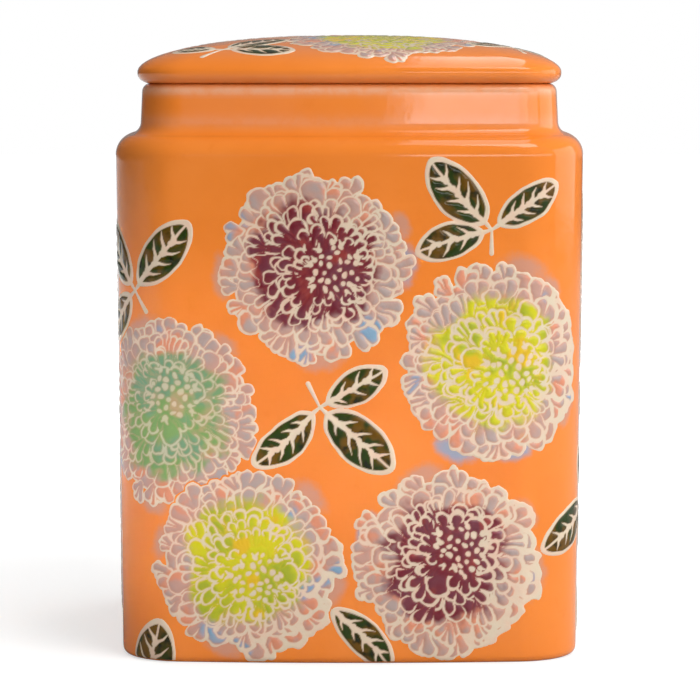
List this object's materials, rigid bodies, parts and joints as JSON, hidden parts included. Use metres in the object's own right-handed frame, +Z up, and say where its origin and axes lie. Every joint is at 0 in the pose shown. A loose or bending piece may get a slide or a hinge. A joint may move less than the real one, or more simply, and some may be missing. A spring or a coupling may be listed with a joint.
{
  "type": "cookie jar",
  "caption": "Square glazed stoneware canister with a short neck and a domed lift-off lid with a sealing ring, for dry food.",
  "frame": {"origin": "on the table, under the middle of the jar's foot ring", "axes": "+Z up through the jar and lid, -Y out of the front face, +X to the right of the front face"},
  "size_m": [0.165, 0.165, 0.2139],
  "materials": {
    "jar_glaze": "glossy orange glaze with wax-relief flowers",
    "lid_glaze": "glossy orange glaze with wax-relief flowers",
    "seal_rubber": "translucent silicone, satin"
  },
  "bodies": {
    "jar": {"jar": "jar_glaze"},
    "lid": {"lid": "lid_glaze", "lid_seal": "seal_rubber"}
  },
  "joints": [
    {"name": "lid_lift", "type": "slide", "parent": "jar", "child": "lid", "axis": [0, 0, 1], "range_m": [0, 0.12]}
  ]
}
